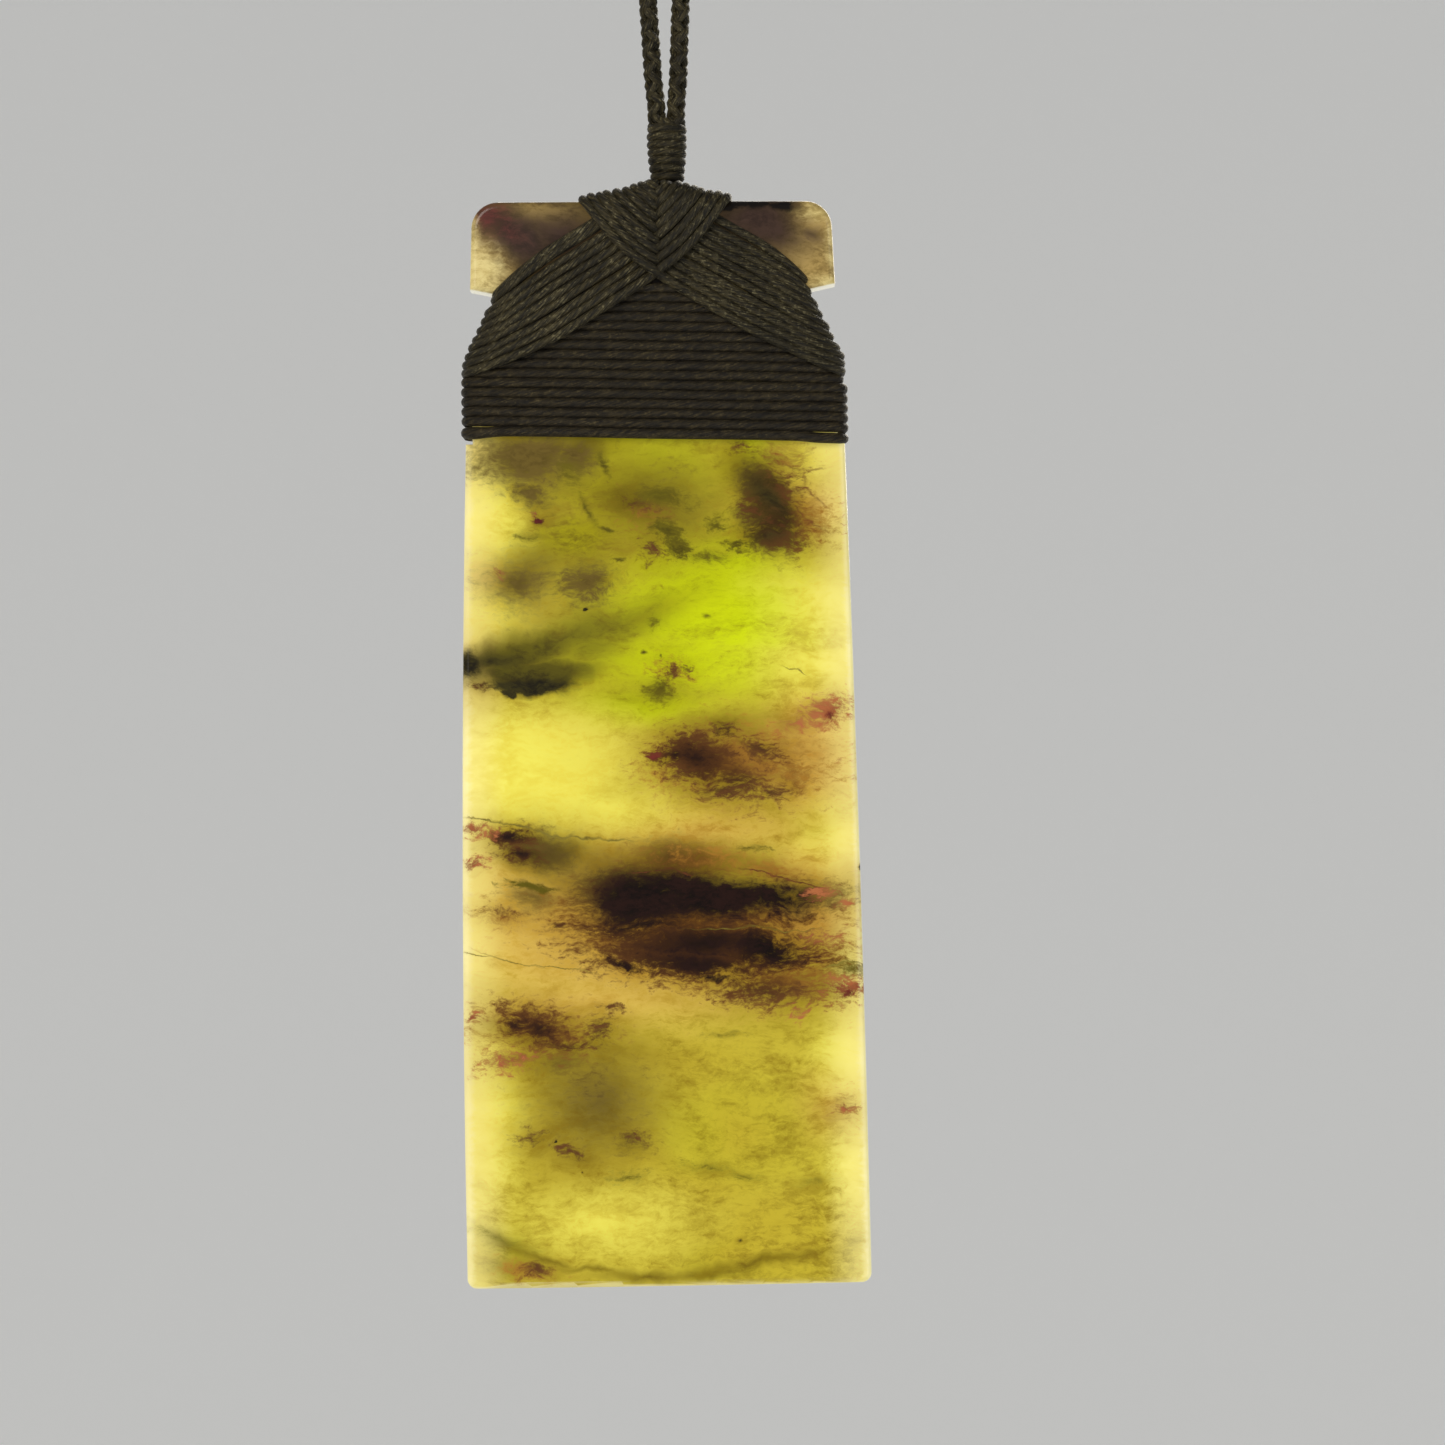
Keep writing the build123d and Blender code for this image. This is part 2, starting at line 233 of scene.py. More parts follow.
# The jade blade. Each patch of the stone is an oval with a torn edge:
# x, depth, half width, half height, softness, raggedness, strength, and its turn in degrees where it isn't level.
stoneLook = {
    "base": sRGB(206, 190, 60), "baseDark": sRGB(184, 166, 46),
    "glow": 0.42,   # painted glow: the stone gives off light, standing in for the light that comes through it from behind
    "roughness": 0.28,
    "warps": [(150, 2.2, 3), (700, 0.8, 4)],  # push the patches about: noise scale, reach in millimetres, detail
    "warpAcross": 1.3,   # they are pushed this much further across than down
    "clouds": (420, 7, 0.68), "specks": (1700, 5, 0.72), "fibres": (1000, 6, 0.72),   # scale, detail, roughness
    "grainTurn": -4, "grainStretch": (0.7, 0.6, 1.4), "fibreStretch": (0.34, 0.5, 1.7),
    # painted light: a lighter band along the sides and on the rounded edges, for light through the thin stone there
    "rimLight": sRGB(255, 245, 178), "rimWidth": 1.0, "rimShare": 0.9, "roundShare": 0.55,
    "sideLight": sRGB(255, 240, 150), "creamWidth": 4.4, "creamShare": 0.6,
    "lit": sRGB(255, 250, 226),   # the hooks' lower faces, where the light comes through
    "litSlope": (-0.72, -0.95), "litDepth": (11, 9),
    "mottle": (0.60, 0.50, 0.22, 1), "mottleFibres": 0.17, "mottleClouds": 0.26,
    "fleck": (0.56, 0.40, 0.16, 1), "fleckShare": 0.45,
    "edge": 0.6,   # how wide an oval's edge is at a softness of 1, each way
    "middle": 0.3,   # how far out a weak oval keeps its strength
    "wideFrom": 2.2,   # wider ovals are torn by clouds, the others by specks
    "halo": (0.56, 0.44, 0.22, 1),   # what lies deeper in the stone blurs round the dark shades
    "haloReach": (-1.1, 0.6),
    "halos": {"shadow": 0.25, "wedge": 0.3, "rust": 0.2, "brown": 0.35, "umber": 0.6, "greenBlack": 0.45,
              "maroon": 0.3},
    # how much the dark shades are broken up
    "laces": {"rust": 0.5, "brown": 0.7, "umber": 0.2, "rose": 0.7, "maroon": 0.6, "moss": 0.4, "shadow": 0.25,
              "wingDark": 0.1, "wingGold": 0.1, "wingPale": 0.1, "wingMaroon": 0.15},
    "shades": {
        "gold": ((234, 200, 96), (206, 160, 66)), "olive": ((164, 156, 18), (124, 112, 14)),
        "lime": ((214, 230, 10), (196, 208, 10)), "pale": ((243, 235, 96), (232, 216, 78)),
        "goldEdge": ((240, 208, 104), (210, 172, 68)), "honey": ((196, 176, 48), (160, 138, 32)),
        "wedge": ((104, 98, 22), (74, 66, 18)), "shadow": ((104, 86, 34), (76, 60, 20)),
        "rust": ((172, 126, 46), (116, 76, 28)), "brown": ((100, 64, 30), (58, 34, 16)),
        "moss": ((100, 90, 16), (70, 62, 10)), "umber": ((36, 18, 13), (15, 7, 5)),
        "greenBlack": ((56, 50, 18), (26, 22, 11)), "rose": ((174, 104, 62), (120, 60, 40)),
        "maroon": ((112, 46, 36), (72, 26, 22)), "wingBrown": ((104, 86, 44), (76, 60, 36)),
        "wingDark": ((66, 49, 40), (48, 35, 29)), "wingGold": ((180, 152, 90), (138, 114, 62)),
        "wingMaroon": ((98, 50, 44), (70, 38, 34)), "wingPale": ((222, 204, 138), (192, 170, 104)),
        "line": ((132, 118, 46), (92, 78, 24)), "redLine": ((110, 60, 34), (70, 34, 20)),
        # the darkest colour here is painted shade, for stone that the cords keep in the dark
        "band": ((132, 112, 16), (96, 78, 10)), "paintedShade": ((20, 15, 10), (14, 11, 8)),
    },
    "patches": {
        "pale": [
            (-10.9, 49.3, 8.4, 5.6, 0.8, 0.2, 1), (-4.9, 52.9, 7.4, 2.3, 1, 0.4, 0.7),
            (-15, 27, 3, 4.6, 1.2, 0.4, 1), (-14.9, 36.2, 4.4, 2.6, 1.2, 0.4, 0.9, -8),
            (13.8, 34.9, 4.4, 5.2, 1.2, 0.2, 0.7), (14.4, 22.4, 2.8, 2.6, 1.2, 0.4, 0.8),
            (12, 33.4, 4, 2, 1.2, 0.4, 0.5), (14.4, 40.9, 4.7, 3, 1.2, 0.4, 0.7),
            (-15.8, 80.9, 2.8, 6.4, 1.2, 0.4, 0.9), (-5.6, 88.8, 8, 3.4, 0.8, 0.4, 0.6),
            (16.3, 74.1, 2.6, 5.4, 1.2, 0.4, 0.7), (16.4, 84.7, 2.1, 3.5, 1.2, 0.4, 0.7),
            (-16.3, 63.4, 2.3, 5.6, 1.2, 0.4, 0.6), (15.3, 55.6, 3, 3, 1.2, 0.4, 0.7),
            (-15.2, 73.6, 2.1, 1.9, 1.2, 0.4, 0.6)],
        "gold": [
            (13.3, 48.5, 4.6, 6.2, 1, 0.4, 0.9), (-6.5, 64.6, 11.2, 4.6, 1, 0.4, 0.7),
            (3, 55.4, 11.6, 2.8, 1.2, 0.4, 0.6), (13.4, 57.9, 5.1, 3, 1, 0.4, 0.7),
            (12.6, 63, 5.4, 2.3, 1, 0.4, 0.9), (-14.6, 60.2, 4, 3.7, 1, 0.4, 0.6),
            (-6.5, 69.7, 10.6, 2.1, 1.2, 0.4, 0.5), (14.6, 79.3, 3.1, 3.3, 1, 0.4, 0.6),
            (-15.8, 32.5, 2.6, 2.6, 1, 0.4, 0.7), (-15.8, 22.9, 1.9, 3, 1, 0.4, 0.8),
            (14.6, 27.4, 3, 3.4, 1, 0.4, 0.7), (3.6, 45.4, 7, 2, 1.2, 0.4, 0.4, 8)],
        "lime": [
            (5.7, 34.9, 10.4, 5.6, 1, 0.4, 1, -8), (7.1, 31.7, 7.9, 2.1, 0.8, 0.4, 0.9),
            (1.4, 40, 9.8, 4.2, 1.2, 0.4, 0.8), (0.3, 22.5, 7.7, 4, 1, 0.4, 0.4),
            (8.3, 21.6, 2.2, 3, 1.2, 0.4, 0.5), (11.4, 33.2, 4.4, 2.6, 1.2, 0.4, 0.8),
            (-1.5, 43.9, 7.7, 2.1, 1.2, 0.4, 0.8), (4.7, 81.2, 6.6, 4, 1.4, 0.4, 0.3)],
        "olive": [
            (-2.2, 26.1, 9.4, 5.4, 1.2, 0.8, 0.8), (0.6, 21.6, 8.6, 2.2, 1.2, 0.6, 0.4),
            (-4.6, 21.3, 4.6, 2.4, 1.2, 0.6, 0.8), (6.9, 23.4, 2.8, 2.8, 1.2, 0.6, 0.6),
            (-7.4, 29.4, 5.4, 3.2, 1.2, 0.6, 0.9), (-1.8, 36.4, 6.4, 1.5, 1.2, 0.4, 0.5, -24),
            (-0.1, 43.2, 5.6, 1.4, 1.2, 0.6, 0.4), (7.6, 81, 5.4, 4.2, 1.2, 0.4, 0.2),
            (5.5, 45.6, 4.9, 1.4, 1.2, 0.6, 0.6), (2.5, 57.7, 7.7, 1.9, 1.2, 0.4, 0.6),
            (-9.6, 56.6, 4.6, 1.9, 1.2, 0.4, 0.6), (-14.6, 90.8, 3.4, 2, 1.2, 0.4, 0.6, 16),
            (-15.2, 92.6, 2.6, 1.2, 1.2, 0.4, 0.6), (7.6, 92.4, 5.2, 1.6, 1.2, 0.4, 0.9),
            (15.4, 91.6, 2.4, 2.6, 1.2, 0.4, 0.5)],
        "honey": [
            (1.6, 75.4, 11, 4.4, 1.2, 0.4, 0.5), (7, 81.3, 7.6, 5.6, 1.2, 0.4, 0.6),
            (2.7, 86.2, 7.1, 3, 1.2, 0.6, 0.6), (10.6, 90.6, 6.4, 4.4, 1.2, 0.4, 1),
            (7.4, 92, 4.6, 1.8, 1.2, 0.4, 0.9), (-5.3, 83.9, 6.2, 2.4, 1.2, 0.8, 0.8),
            (-6.4, 79.4, 5.8, 5.4, 1.2, 0.4, 0.9), (-12, 76.6, 4, 2, 1.2, 0.4, 0.5)],
        "wedge": [
            (-7.6, 37.9, 7.6, 2.1, 1.2, 0.2, 0.6, -16), (-11.9, 39.2, 6.4, 1.6, 1.2, 0.2, 1, -16),
            (-11, 40.9, 5.2, 1.2, 0.8, 0.4, 1), (-6, 39, 3.6, 2, 1.2, 0.4, 0.4, -24),
            (-10.6, 56.7, 2.6, 1.6, 1, 0.6, 0.6, 8)],
        "shadow": [
            (-10.8, 22.4, 4.6, 2.5, 1.2, 0.6, 1), (-9.4, 21.8, 3.8, 1.8, 1.2, 0.8, 0.9),
            # the second patch here is painted shade, on the stone beside the last level turn at the left
            (-13.4, 23.4, 1.2, 0.8, 0.8, 0.8, 0.4, 8), (-14.6, 19.9, 1.9, 0.5, 0.8, 0.4, 0.9),
            (-11, 25.3, 2.1, 1.2, 1, 0.8, 0.8, 24), (-6.8, 22.2, 2.4, 1.8, 1, 0.8, 0.9),
            (10.2, 28, 2.9, 2.9, 0.8, 0.6, 1), (9.9, 25.8, 3.4, 2, 0.8, 0.6, 1, 48),
            (10.6, 22.8, 2.2, 1.3, 1.2, 0.8, 0.4), (-12.1, 33.2, 3.2, 2.5, 1.2, 0.6, 0.8),
            (-6.4, 33.5, 2.2, 1.7, 1.2, 0.8, 0.9, -8), (-10, 56.6, 3.4, 1.7, 1, 0.6, 0.8, 8),
            (-11, 60.6, 2.4, 1.4, 1.2, 0.8, 0.6), (0.6, 57.2, 3.4, 1.6, 0.8, 0.8, 0.8),
            (-3.9, 59.4, 4.6, 2.4, 1.2, 0.4, 0.8), (2.8, 48, 3.4, 1.8, 1, 0.8, 0.4),
            (-6.3, 78.6, 5.2, 4.8, 1.2, 0.4, 0.6), (-5.4, 80.6, 2.9, 2.8, 1.2, 0.8, 0.4),
            (-8.8, 75.2, 3.4, 1.8, 1.2, 0.8, 0.5), (-3.4, 82, 2.1, 1.6, 1, 0.8, 0.5),
            (0.8, 26.4, 4.6, 3.2, 1.2, 0.8, 0.4, 8)],
        "rust": [
            (13.7, 28.1, 2, 1.9, 1.2, 1, 0.6), (11.6, 22.8, 1.4, 1.3, 1, 1, 0.3, 8),
            (6.9, 49.3, 7.2, 3.6, 0.8, 0.8, 0.9), (11.6, 50.2, 2.2, 2.2, 0.8, 1, 0.8),
            (11.4, 46.2, 3.4, 1.3, 1, 1, 0.5, -16), (2.6, 57.6, 5.4, 1.5, 0.8, 0.8, 0.8),
            (9.2, 58.6, 4.2, 1.2, 0.8, 1, 0.6, 16), (-4.4, 64.6, 4.4, 1.6, 0.8, 1, 0.8, 8),
            (2.9, 64.2, 10.4, 3.6, 0.8, 0.8, 1, 8), (8.4, 62.6, 4.6, 2.2, 1, 0.8, 0.6),
            (8, 62.9, 6.4, 1.1, 0.8, 1.2, 0.7), (10.6, 68.4, 6.2, 2.2, 0.8, 0.8, 0.9, 8),
            (-13.9, 62.5, 2.6, 1, 0.8, 1.2, 0.5, 8), (-11, 72.2, 5.2, 2.1, 0.8, 0.8, 0.8, 8),
            (-12.9, 74.6, 3.5, 1.1, 0.8, 1.2, 0.5, -8), (0.9, 40.9, 1.6, 1.2, 0.8, 1.2, 0.4, 8),
            (-1.2, 27.4, 2.1, 1.4, 0.8, 1.2, 0.3, 24), (15.3, 79.5, 1.4, 1.1, 1, 1.2, 0.5),
            (-12.6, 92.9, 3, 0.8, 0.8, 1.2, 0.6, 8)],
        "brown": [
            (10.6, 28.5, 2, 1.4, 1, 1.2, 0.6, 8), (8.7, 27.2, 0.8, 1, 1, 1.2, 0.6, -16),
            (11.4, 25.7, 1.5, 1.6, 1, 1.2, 0.5), (10.6, 29.7, 2.3, 0.6, 0.8, 0.8, 0.8, 8),
            (3.6, 48.8, 2.8, 1.9, 0.8, 1.2, 1, 24), (6.6, 50.8, 3.4, 1.6, 0.8, 1.2, 0.8, 24),
            (5.6, 46.4, 1.2, 0.7, 0.8, 1.2, 0.9), (1.5, 48.4, 2, 1, 0.8, 1, 0.9, -8),
            (-0.5, 48.7, 0.6, 0.5, 0.8, 1, 0.9), (5.8, 51.7, 2, 0.8, 0.8, 1, 0.8),
            (9.8, 51.9, 1.6, 0.8, 0.8, 1, 0.7), (8.9, 48.3, 2, 0.8, 0.8, 1.2, 0.8, 24),
            (2.1, 50.2, 1.2, 0.7, 0.8, 1.2, 0.6), (-13, 55.4, 1.9, 0.8, 0.8, 0.8, 0.9, 8),
            (-12.1, 56.9, 1.5, 0.6, 0.8, 1, 0.8, 8), (-3.2, 64.1, 4.9, 1.1, 0.8, 1, 0.8, 8),
            (3, 65.3, 8.6, 2.5, 0.8, 0.8, 1), (-3.7, 66.5, 2.8, 0.7, 0.8, 1, 0.8, 8),
            (-11.2, 71.9, 3.4, 1.7, 0.8, 1.2, 0.8, 16), (-5.6, 72.5, 1.2, 1.4, 0.8, 1.2, 0.6, 32),
            (-4.8, 70.5, 1.2, 0.3, 0.8, 1, 0.8, 8), (-8.4, 73.6, 3.3, 0.5, 0.8, 1.2, 0.7, 8),
            (-8.3, 82.9, 1.3, 0.4, 0.8, 1, 0.7, 16), (-11.7, 81.4, 1.2, 0.5, 0.8, 1, 0.5, 8),
            (-3.1, 81.8, 0.9, 0.6, 0.8, 1, 0.4), (-11.8, 92.9, 1.2, 0.6, 0.8, 0.8, 0.7),
            (8.6, 68.9, 4.4, 1.4, 0.8, 1.2, 0.8, 8), (11.2, 66.6, 1.8, 0.8, 0.8, 1.2, 0.5, 8),
            (-0.8, 30.6, 1.2, 0.7, 0.8, 1.2, 0.6), (-1.4, 26.7, 1.4, 0.7, 0.8, 1.2, 0.6, 16),
            (0.9, 41, 0.7, 0.7, 0.8, 1.2, 0.6), (2.3, 40.7, 0.6, 0.4, 0.8, 1.2, 0.6),
            (-8.8, 63, 0.6, 0.3, 0.8, 0.8, 0.8, -8), (-13.7, 62.1, 1.6, 0.4, 0.8, 1.2, 0.4, 8),
            (7.3, 21.5, 0.7, 0.5, 0.8, 1, 0.5), (-15.7, 42.1, 0.7, 0.3, 0.8, 1, 0.8, 8)],
        "moss": [
            (0.9, 28.9, 1.3, 0.8, 0.8, 0.8, 1, 8), (1.9, 30.3, 1.3, 1, 0.8, 0.8, 1, 24),
            (0.5, 26, 2.2, 0.9, 0.8, 1, 0.8, 8), (-4.2, 23.1, 0.5, 1.1, 0.8, 0.8, 0.8, -24),
            (-4.7, 28.8, 0.8, 0.2, 0.8, 0.6, 0.9, 16), (-3.6, 31.5, 0.5, 0.2, 0.8, 0.8, 0.8),
            (7.1, 30.1, 1.2, 0.6, 0.8, 1.2, 0.8), (5.4, 28.2, 1, 0.6, 0.8, 1.2, 0.7),
            (4.3, 31, 2.4, 0.6, 1, 1.2, 0.6), (-7.2, 23.8, 0.9, 1.2, 1, 1.2, 0.4),
            (-6.2, 27, 0.3, 1.4, 1, 0.8, 0.6, -16), (-0.4, 42.6, 1.2, 0.9, 1.2, 0.6, 0.9),
            (-0.3, 36.9, 0.6, 0.6, 0.8, 1, 0.5), (4.6, 36.4, 0.3, 0.3, 0.8, 0.8, 0.6),
            (-1.4, 39.6, 0.2, 0.2, 0.6, 0.4, 0.9), (0.2, 39.6, 0.2, 0.2, 0.6, 0.4, 0.7),
            (-11.5, 29, 1.4, 0.4, 1, 1.2, 0.4), (3.4, 84.1, 2.1, 0.5, 1, 1.2, 0.4, 8),
            (6.5, 85, 1.4, 0.4, 1, 1.2, 0.4, 8), (5.5, 73, 1.9, 0.3, 1, 1, 0.4), (-3.4, 85.3, 1.4, 0.6, 1, 1, 0.4),
            (12.6, 85.6, 1.6, 0.5, 1, 1, 0.2), (-11.4, 59.5, 2.3, 0.3, 0.8, 1, 0.9),
            (-12.7, 59.2, 0.8, 0.2, 0.8, 1, 0.6, 8), (8.1, 56.6, 1.6, 0.3, 1, 1, 0.5),
            (15.8, 67.4, 1.8, 0.7, 0.8, 0.6, 0.6), (-14.6, 90.3, 2.6, 0.6, 1.2, 0.8, 0.4, 24)],
        "umber": [
            (-1.8, 60.9, 5.1, 2.7, 0.8, 0.4, 1), (1.7, 59.8, 5.6, 1.7, 1, 0.4, 1, 8),
            (4.3, 61, 6.2, 1.8, 0.8, 0.4, 1), (9.4, 61, 4.8, 1.4, 1.2, 0.8, 1), (12.7, 60.6, 1.6, 0.5, 0.8, 1, 0.8),
            (-1.8, 63.2, 4.2, 0.8, 0.8, 0.8, 0.8), (3.4, 64.9, 5, 1.2, 1, 1.2, 0.8),
            (8.6, 65.3, 2.9, 1.3, 1, 1, 1, 8), (2.6, 66.6, 4, 0.9, 1, 1.2, 0.8, 8),
            (4.2, 67.7, 1.9, 0.3, 0.8, 1, 0.7, 8), (-3.7, 66.6, 1.5, 0.4, 0.8, 1, 0.8, 16),
            (-13.1, 55.3, 1.1, 0.5, 0.8, 0.8, 0.8, 8), (-11.9, 56.9, 0.9, 0.3, 0.8, 1, 0.7, 8),
            (-11, 72, 1.5, 0.7, 0.8, 1.2, 0.5, 24), (-13.1, 71.5, 1.3, 0.6, 0.8, 1.2, 0.4, -16),
            (1.7, 48.4, 0.9, 0.5, 0.8, 0.8, 0.6), (3.6, 48.6, 1.6, 0.8, 0.8, 1.2, 0.6, 24)],
        "greenBlack": [
            (-16.4, 40.2, 1, 1.2, 0.8, 0.6, 1), (-14.4, 39.9, 2.8, 0.7, 1.2, 0.4, 0.6),
            (-11.6, 41.3, 4.4, 1.2, 1.2, 0.4, 0.4), (-11, 42, 3.6, 0.8, 0.6, 0.6, 1),
            (-13.1, 42.6, 0.9, 0.4, 0.6, 0.6, 1), (-8.4, 41.9, 1.4, 0.9, 0.8, 0.6, 0.8),
            (10.1, 26.3, 3, 0.9, 1.2, 0.8, 0.6, 48), (9.9, 29.6, 1.6, 0.5, 1.2, 0.8, 0.5),
            (-6.3, 35.6, 0.2, 0.2, 0.4, 0.4, 1), (-9.5, 82.1, 0.1, 0.1, 0.4, 0.4, 1),
            (-7.3, 84.5, 0.1, 0.1, 0.4, 0.4, 0.8), (6.3, 90.8, 0.2, 0.2, 0.4, 0.4, 0.7),
            (17, 58.8, 0.2, 0.3, 0.4, 0.4, 1), (-0.8, 21.1, 0.2, 0.2, 0.4, 0.4, 0.8)],
        "rose": [
            (-16.5, 54.7, 1.4, 0.6, 0.8, 1, 0.8, 8), (-15.4, 54.5, 1.4, 0.3, 0.8, 1, 0.6, 8),
            (-16.3, 57.6, 1.2, 0.6, 0.8, 1.2, 0.8), (14.6, 44.7, 2.4, 1.1, 1, 1.2, 0.8, -16),
            (13, 45.6, 1.8, 0.6, 1, 1.2, 0.5, -16), (14, 64.5, 1.5, 0.7, 0.8, 1.2, 0.4),
            (15.7, 61.5, 0.6, 0.4, 0.8, 1.2, 0.7), (13.6, 60.6, 0.9, 0.5, 0.8, 1, 0.8, -8),
            (15.4, 49.1, 0.3, 0.2, 0.8, 0.8, 0.6), (15.9, 69.2, 1.8, 1.1, 0.8, 1.2, 0.9),
            (11.7, 71.1, 0.7, 0.6, 0.8, 1.2, 0.6, 24), (-16.6, 71, 0.9, 0.4, 0.8, 1.2, 0.8),
            (-14.4, 75.2, 0.5, 0.3, 0.8, 0.8, 0.8), (-13.9, 74.8, 2.1, 0.7, 1, 1.2, 0.6, -8),
            (15.5, 79.6, 0.9, 0.5, 0.8, 1.2, 0.6), (-10.7, 27, 0.6, 0.3, 0.8, 1, 0.6),
            (-13.7, 32.2, 0.6, 0.6, 0.8, 0.8, 0.6)],
        "maroon": [
            (-10.4, 27.5, 0.6, 0.4, 0.8, 0.8, 1), (14.8, 45.3, 0.4, 0.3, 0.8, 0.8, 0.8),
            (-0.5, 48.7, 0.5, 0.4, 0.8, 0.8, 0.7), (15.6, 69.6, 0.7, 0.4, 0.8, 1.2, 0.6)],
        "wingBrown": [
            (-11.2, 3, 12, 8.6, 0.4, 0.2, 1), (11.4, 3, 12, 8.6, 0.4, 0.2, 1)],
        "wingDark": [
            (-11.4, 3.4, 3.2, 2, 1.2, 0.4, 1, 24), (-8.2, 3.2, 3.2, 2, 1.2, 0.4, 0.8),
            (9.4, 2.2, 4, 2.4, 1.2, 0.4, 1, 16), (13.9, 3.2, 1.6, 0.9, 1.2, 0.4, 0.6, 16),
            (-13.7, 5.5, 1.1, 0.9, 1.2, 0.6, 0.5)],
        "wingGold": [
            (-9.9, 1, 2.4, 0.9, 1.2, 0.4, 0.5), (13.6, 6, 3, 2.2, 1.2, 0.4, 0.9, 16),
            (14.9, 2.4, 2.2, 2.6, 1.2, 0.4, 1), (-14.4, 5, 2.2, 2.6, 1.2, 0.4, 0.8)],
        "wingMaroon": [
            (-14, 1.6, 1.9, 1.5, 1.2, 0.4, 0.8), (-12.6, 2.6, 1.7, 0.9, 1.2, 0.6, 0.4, 32)],
        "wingPale": [
            (-15.4, 6.4, 1.9, 2, 1.2, 0.4, 1), (-15.8, 4, 1, 2.6, 1.2, 0.4, 0.8),
            (16.3, 4.4, 0.9, 3.4, 1.2, 0.4, 0.8), (15.4, 7.4, 1.8, 0.8, 1.2, 0.4, 0.6),
            (14.8, 1.1, 1.6, 0.8, 1.2, 0.4, 0.5, 8)],
        # painted shade: the stone under the crossing cords, where no light gets in
        "paintedShade": [
            (0.4, 8, 4.5, 2.2, 0.4, 0, 1)],
        "goldEdge": [(-6, 64.3, 20, 9, 0.2, 0.2, 0.8, 8)],
    },
    # thin marks along a few points: shade, half thickness, softness, strength, points
    "marks": [
        ("line", 0.09, 1, 0.8,
         [(-17, 53.7), (-14, 54.1), (-11, 54.9), (-8.2, 55.4), (-5, 55.5), (-3.1, 55.7)]),
        ("line", 0.07, 1, 0.7, [(-17.2, 65.5), (-14.9, 65.6), (-11.2, 66.4), (-7.2, 67.1)]),
        ("line", 0.09, 1, 0.8, [(13.7, 67.3), (15.4, 66.8), (16.8, 66.8), (17.3, 67.1)]),
        ("line", 0.06, 1, 0.7, [(3.3, 63.8), (7.5, 63.6), (12.6, 63.6)]),
        ("line", 0.07, 1, 0.7, [(11, 41.1), (12.1, 41.3), (12.9, 41.8)]),
        ("redLine", 0.08, 1, 0.8, [(7.3, 58.4), (9.4, 59), (11.3, 59.5), (13.1, 60)]),
        ("redLine", 0.06, 1, 0.6, [(-2, 58.4), (0.6, 58.1), (2.5, 58.6)]),
        ("redLine", 0.16, 1.2, 0.4, [(13.1, 24.2), (13.3, 25.2), (14.3, 26), (15.1, 26.8)]),
        ("redLine", 0.1, 1.2, 0.4, [(11.6, 23.2), (13.1, 23.7), (14.8, 23.5)]),
        ("redLine", 0.14, 1.2, 0.4, [(12.4, 26.8), (13.2, 28), (14.6, 28.9)]),
        ("band", 0.3, 1.4, 0.6, [(-12.8, 91.4), (-9, 92.6), (-4, 93.6)]),
        ("band", 0.5, 1.6, 0.7, [(-4.6, 93.5), (1.4, 93.6), (5.6, 93), (11.2, 92.3)]),
        # painted shade along the rounded top edge of the butt at the right
        ("paintedShade", 0.46, 0.8, 1, [(5, 0.45), (8, 0.55), (10.4, 0.65), (12.4, 0.75)]),
    ],
    "markRagged": 0.8,
    "markReach": 0.72,   # half an oval's length against its stretch of the mark
    "turnStep": 8,   # the ovals lie level or turned by whole steps of this many degrees
    "order": ["gold", "lime", "olive", "honey", "mottle", "fleck", "pale", "goldEdge", "rimLight", "wedge", "shadow",
              "rust", "brown", "moss", "umber", "greenBlack", "rose", "maroon", "line", "redLine", "band",
              "wingBrown", "wingGold", "wingDark", "wingMaroon", "wingPale", "paintedShade"],
}
# half width of the stone below the lashing: at the shoulder, at the edge, and its bulge between them
shoulderHalf, edgeHalf, bulge = 16.5, 17.6, 0.26
shoulderDepth, edgeDepth = 16, 94.6
trace = 1e-9   # too little of a colour to show


def markRows(halfLine, soft, strength, points):
    # one long thin oval for each stretch of a mark
    look = stoneLook
    rows = []
    for (x1, depth1), (x2, depth2) in zip(points, points[1:]):
        length = math.hypot(x2 - x1, depth2 - depth1)
        turn = round(math.degrees(math.atan2(depth2 - depth1, x2 - x1)) / look["turnStep"]) * look["turnStep"]
        rows.append(((x1 + x2) / 2, (depth1 + depth2) / 2, look["markReach"] * length, halfLine,
                     soft, look["markRagged"], strength, turn))
    return rows


